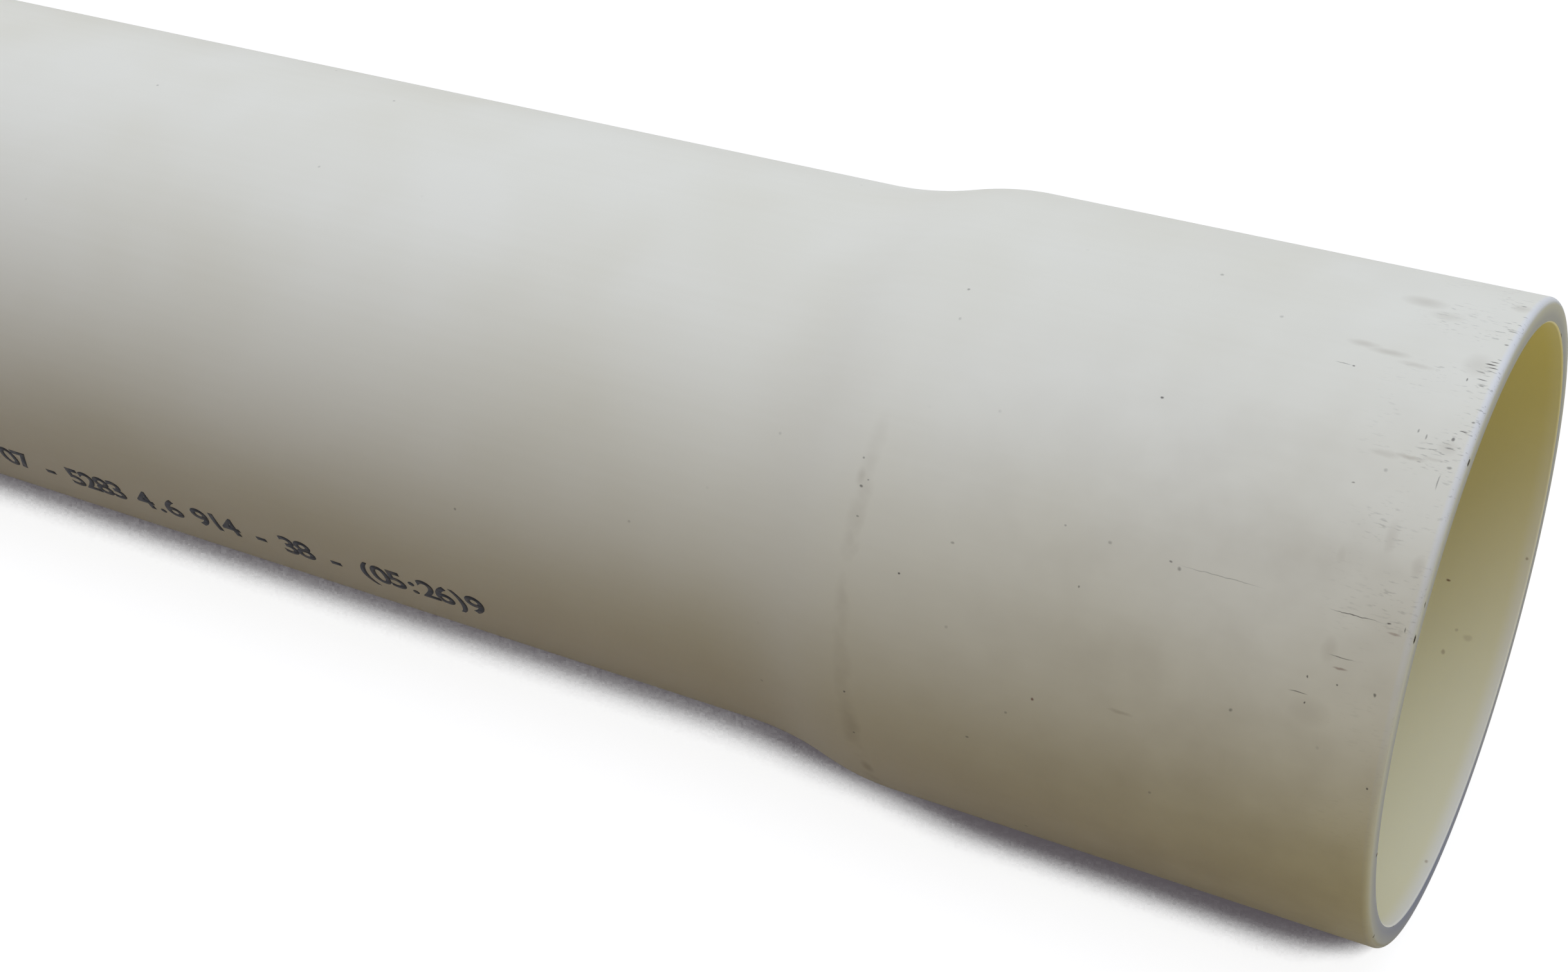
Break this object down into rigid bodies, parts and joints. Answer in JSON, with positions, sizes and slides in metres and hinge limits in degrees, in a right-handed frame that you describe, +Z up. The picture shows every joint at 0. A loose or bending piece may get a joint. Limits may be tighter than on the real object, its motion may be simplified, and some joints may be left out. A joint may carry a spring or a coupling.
{
  "type": "pvc pressure pipe",
  "caption": "Straight cream PVC-U pressure pipe with a belled socket for solvent cement at one end and a chamfered spigot at the other.",
  "frame": {"origin": "on the floor, below the middle of the overall length; the pipe's axis is level above it, half the socket's outside diameter up", "axes": "+X along the pipe towards the socket's mouth, +Z up"},
  "size_m": [1.095, 0.119, 0.1191],
  "materials": {
    "pvc": "satin"
  },
  "bodies": {
    "root": {"pipe": "pvc"}
  },
  "joints": []
}
